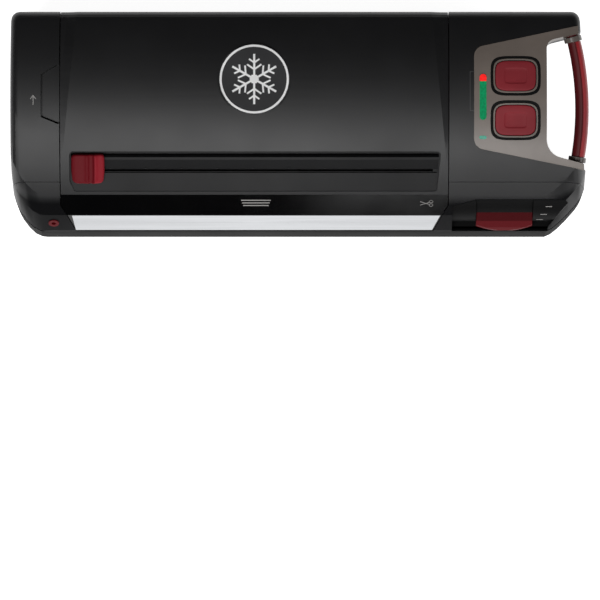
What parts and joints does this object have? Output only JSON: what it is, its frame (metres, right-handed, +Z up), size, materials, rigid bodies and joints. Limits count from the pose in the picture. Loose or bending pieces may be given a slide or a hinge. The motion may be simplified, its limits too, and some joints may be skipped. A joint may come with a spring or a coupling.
{
  "type": "vacuum sealer",
  "caption": "Wide countertop vacuum sealer with a hinged lid, sliding film cutter, red latch lever, push buttons, status lights and a side carry handle.",
  "frame": {"origin": "centre of the overall box at table height", "axes": "+X to the user's right along the lid, +Y to the rear, +Z up"},
  "size_m": [0.596, 0.22, 0.1224],
  "materials": {
    "shell_matte": "fine grained black",
    "gloss_black": "piano black",
    "panel_taupe": "satin taupe",
    "foot_rubber": "matte",
    "screw_steel": "zinc plated",
    "deck_plastic": "satin black",
    "foam_gasket": "closed cell foam",
    "tray_plastic": "smooth",
    "bar_resin": "moulded",
    "heater_steel": "brushed",
    "ptfe": "coated glass cloth",
    "port_red": "smooth",
    "gasket_black": "matte",
    "lens_red": "clear tinted",
    "lens_green": "clear tinted",
    "handle_maroon": "satin",
    "grip_red": "soft touch",
    "collar_grey": "smooth",
    "pin_steel": "ground",
    "board_green": "laminate",
    "part_black": "moulded",
    "led_clear": "clear",
    "motor_zinc": "zinc plated",
    "core_iron": "varnished laminations",
    "coil_copper": "enamelled winding",
    "hose_clear": "silicone",
    "brushed_trim": "brushed",
    "silicone_red": "silicone",
    "badge_grey": "satin",
    "badge_white": "smooth",
    "knob_red": "satin",
    "blade_steel": "ground",
    "lever_red": "satin",
    "button_red": "silicone",
    "part_white": "moulded"
  },
  "bodies": {
    "base": {"base_housing": "shell_matte", "rubber_feet": "foot_rubber", "base_screws": "screw_steel", "work_deck": "deck_plastic", "lower_gasket": "foam_gasket", "drip_tray": "tray_plastic", "seal_bar": "bar_resin", "heating_strip": "heater_steel", "ptfe_tape": "ptfe", "left_pod_cover": "shell_matte", "left_front_cap": "gloss_black", "accessory_port": "port_red", "right_pod_cover": "shell_matte", "right_front_cap": "shell_matte", "latch_plate": "gloss_black", "control_panel": "panel_taupe", "button_gaskets": "gasket_black", "button_rings": "panel_taupe", "sealing_lens": "lens_red", "progress_lens": "lens_green", "closed_lens": "lens_green", "handle_core": "handle_maroon", "handle_grip": "grip_red", "handle_collars": "collar_grey", "hinge_pins": "pin_steel", "control_board": "board_green", "tact_switches": "part_black", "status_leds": "led_clear", "pump_motor": "motor_zinc", "pump_body": "part_black", "pump_cap": "part_black", "transformer_core": "core_iron", "transformer_coil": "coil_copper", "power_board": "board_green", "vacuum_hose": "hose_clear", "port_hose": "hose_clear", "power_inlet": "part_black"},
    "lid": {"lid_cover": "shell_matte", "lid_inner": "deck_plastic", "front_fascia": "gloss_black", "bright_strip": "brushed_trim", "cutter_tray": "shell_matte", "upper_gasket": "foam_gasket", "pressure_strip": "silicone_red", "badge_disc": "badge_grey", "badge_emblem": "badge_white", "lid_catches": "deck_plastic"},
    "cutter": {"cutter_knob": "knob_red", "cutter_carriage": "part_black", "cutter_blade": "blade_steel"},
    "latch": {"latch_lever": "lever_red", "latch_drum": "gloss_black", "latch_shaft": "pin_steel", "latch_bail": "pin_steel", "latch_hooks": "screw_steel"},
    "seal_button": {"seal_button": "button_red"},
    "vacuum_button": {"vacuum_button": "button_red"},
    "crank": {"pump_crank": "pin_steel"},
    "piston": {"pump_piston": "part_white"}
  },
  "joints": [
    {"name": "lid_hinge", "type": "hinge", "parent": "base", "child": "lid", "pos_m": [-0.047, 0.1, 0.062], "axis": [-1, 0, 0], "range_deg": [0, 70]},
    {"name": "cutter_slide", "type": "slide", "parent": "lid", "child": "cutter", "axis": [1, 0, 0], "range_m": [0, 0.34]},
    {"name": "latch_pivot", "type": "hinge", "parent": "base", "child": "latch", "pos_m": [0.2115, -0.074, 0.05], "axis": [-1, 0, 0], "range_deg": [0, 40]},
    {"name": "seal_button_press", "type": "slide", "parent": "base", "child": "seal_button", "axis": [0, 0.0521, -0.9986], "range_m": [0, 0.0015], "stiffness_N_per_m": 400, "springref_m": -0.0005},
    {"name": "vacuum_button_press", "type": "slide", "parent": "base", "child": "vacuum_button", "axis": [0, 0.2325, -0.9726], "range_m": [0, 0.0015], "stiffness_N_per_m": 400, "springref_m": -0.0005},
    {"name": "crank_spin", "type": "hinge", "parent": "base", "child": "crank", "pos_m": [0.1764, 0.0085, 0.034], "axis": [1, 0, 0], "continuous": true},
    {"name": "piston_slide", "type": "slide", "parent": "base", "child": "piston", "axis": [0, 0, 1], "range_m": [-0.002, 0.002]}
  ]
}
